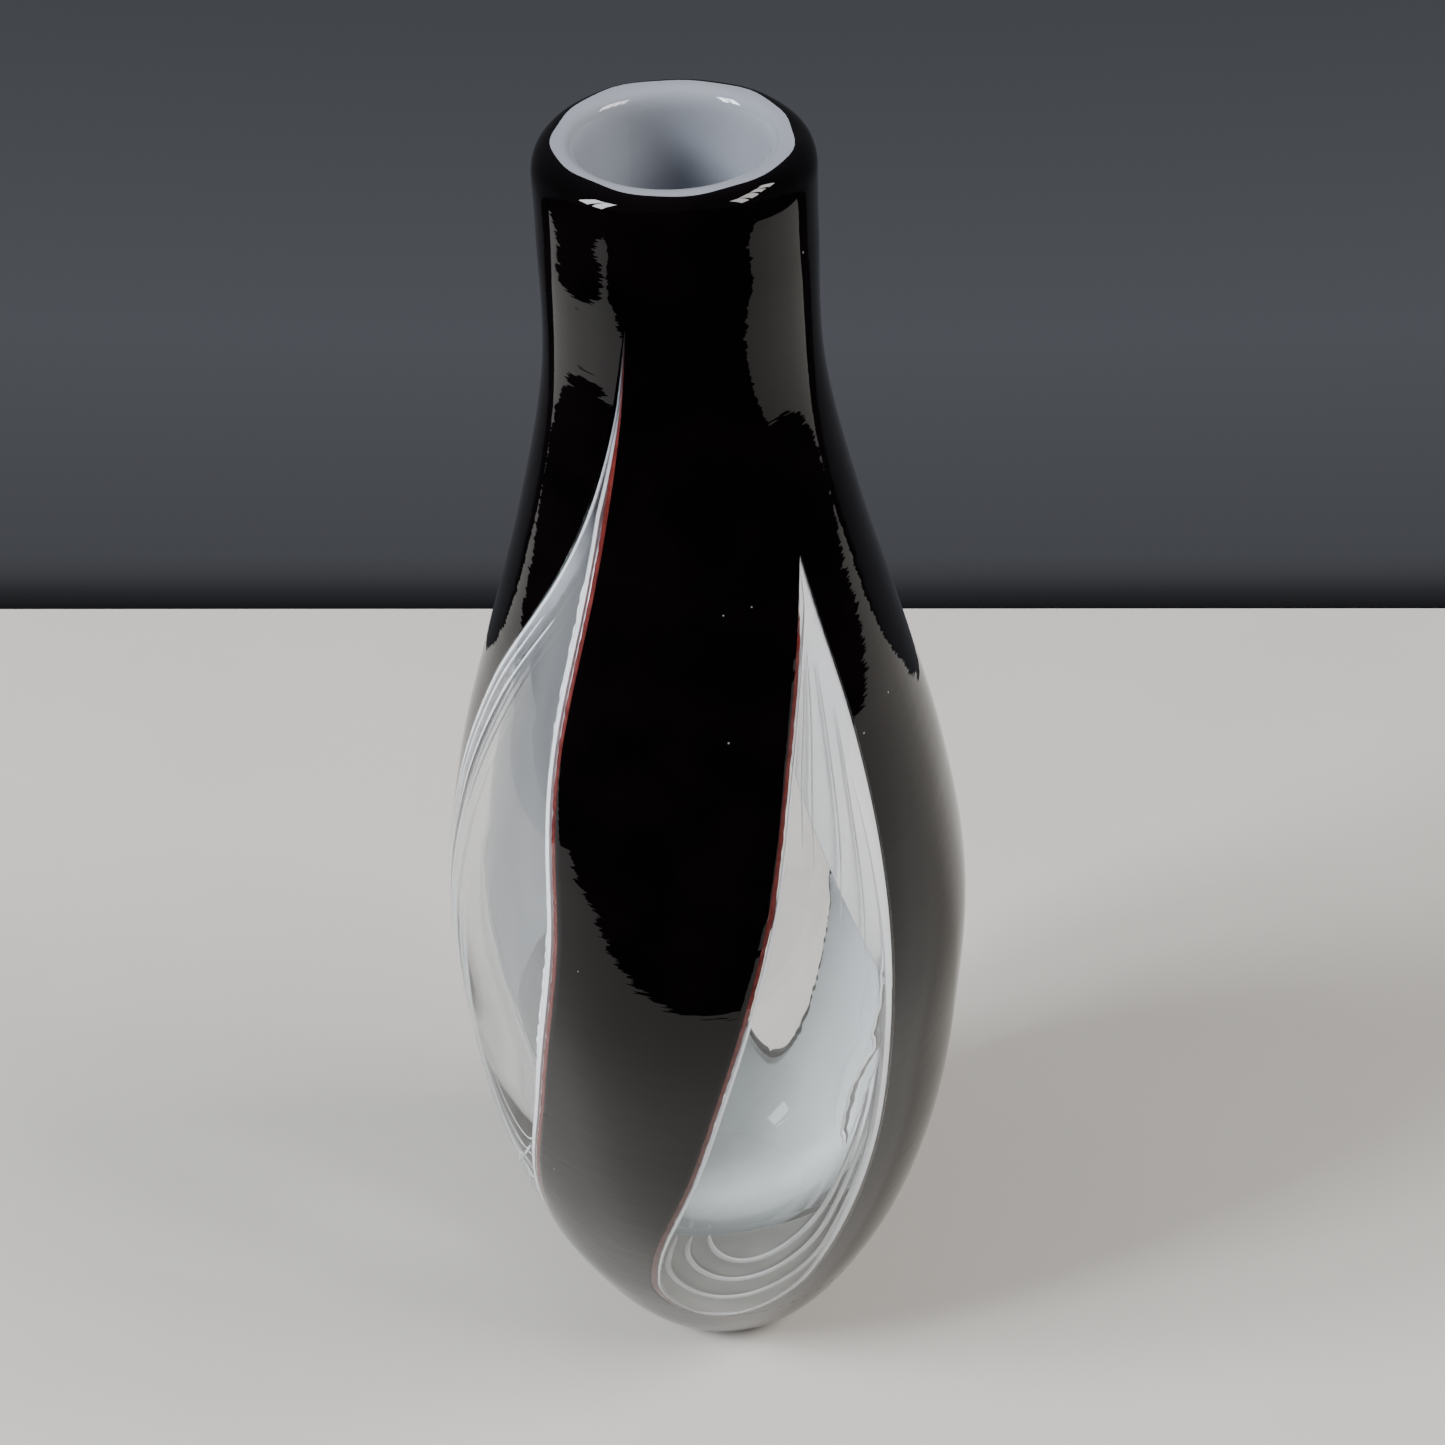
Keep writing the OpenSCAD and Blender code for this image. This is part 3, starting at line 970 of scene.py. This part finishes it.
def room():
    """A dark wall all round, darkest just behind the table's far edge and below that line. The narrow dark
    band along the far edge is painted shade in the gap behind the table.
    """
    world = bpy.data.worlds.new("room")
    bpy.context.scene.world = world
    world.use_nodes = True
    nodes, links = world.node_tree.nodes, world.node_tree.links
    place = nodes.new("ShaderNodeTexCoord")
    lean = nodes.new("ShaderNodeVectorMath")
    lean.operation = "DOT_PRODUCT"
    # Square to the line of sight that grazes the far edge
    lean.inputs[1].default_value = (0.0465, 0.628, 0.777)
    ramp = nodes.new("ShaderNodeValToRGB")
    # The dark stops next to 0.5 are painted shade in the gap behind the table's far edge
    stops = [
        (0.5, (0.010, 0.010, 0.012)),
        (0.5025, (0.014, 0.014, 0.016)),
        (0.506, (0.045, 0.046, 0.052)),
        (0.512, (0.064, 0.067, 0.075)),
        (0.56, (0.082, 0.086, 0.098)),
        (0.63, (0.062, 0.067, 0.076)),
        (1.0, (0.10, 0.105, 0.12)),
    ]
    elements = ramp.color_ramp.elements
    elements[0].position, elements[1].position = stops[0][0], stops[-1][0]
    for position, _ in stops[1:-1]:
        elements.new(position)
    for element, (_, color) in zip(elements, stops):
        element.color = (*color, 1)
    scale = nodes.new("ShaderNodeMath")
    scale.operation = "MULTIPLY_ADD"
    scale.inputs[1].default_value = 0.5
    scale.inputs[2].default_value = 0.5
    links.new(place.outputs["Generated"], lean.inputs[0])
    links.new(lean.outputs["Value"], scale.inputs[0])
    links.new(scale.outputs[0], ramp.inputs[0])
    links.new(ramp.outputs[0], nodes["Background"].inputs["Color"])


def room_lights():
    """Soft light from two windows, of two and of four panes, aimed at the lower body."""
    aim = (0, 0, 0.1)
    lamp_row("window_left", (-1.02, -0.30, 0.98), aim, 2, (0.2, 0.5), 0.05, 26, (0.93, 0.96, 1))
    lamp_row("window_right", (0.93, -0.24, 1.06), aim, 4, (0.14, 0.4), 0.04, 16, (1, 0.98, 0.95))


def photo_camera():
    """The camera of the main picture, above the lip and in front, looking down at the vase."""
    tilt, yaw, roll = math.radians(41.909), math.radians(0.764), math.radians(-2.213)
    place = Vector((0, -1.0733 * VASE_H, 1.5451 * VASE_H))
    ahead = Vector((math.sin(yaw) * math.cos(tilt), math.cos(yaw) * math.cos(tilt), -math.sin(tilt)))
    data = bpy.data.cameras.new("photo_camera")
    data.sensor_width = 36
    data.lens = 54.8
    data.clip_start = 0.01
    ob = bpy.data.objects.new("photo_camera", data)
    bpy.context.scene.collection.objects.link(ob)
    turn = ahead.to_track_quat("-Z", "Y").to_matrix().to_4x4()
    ob.matrix_world = Matrix.Translation(place) @ turn @ Matrix.Rotation(roll, 4, "Z")
    bpy.context.scene.camera = ob


build_vase()
table_top()
room()
room_lights()
photo_camera()
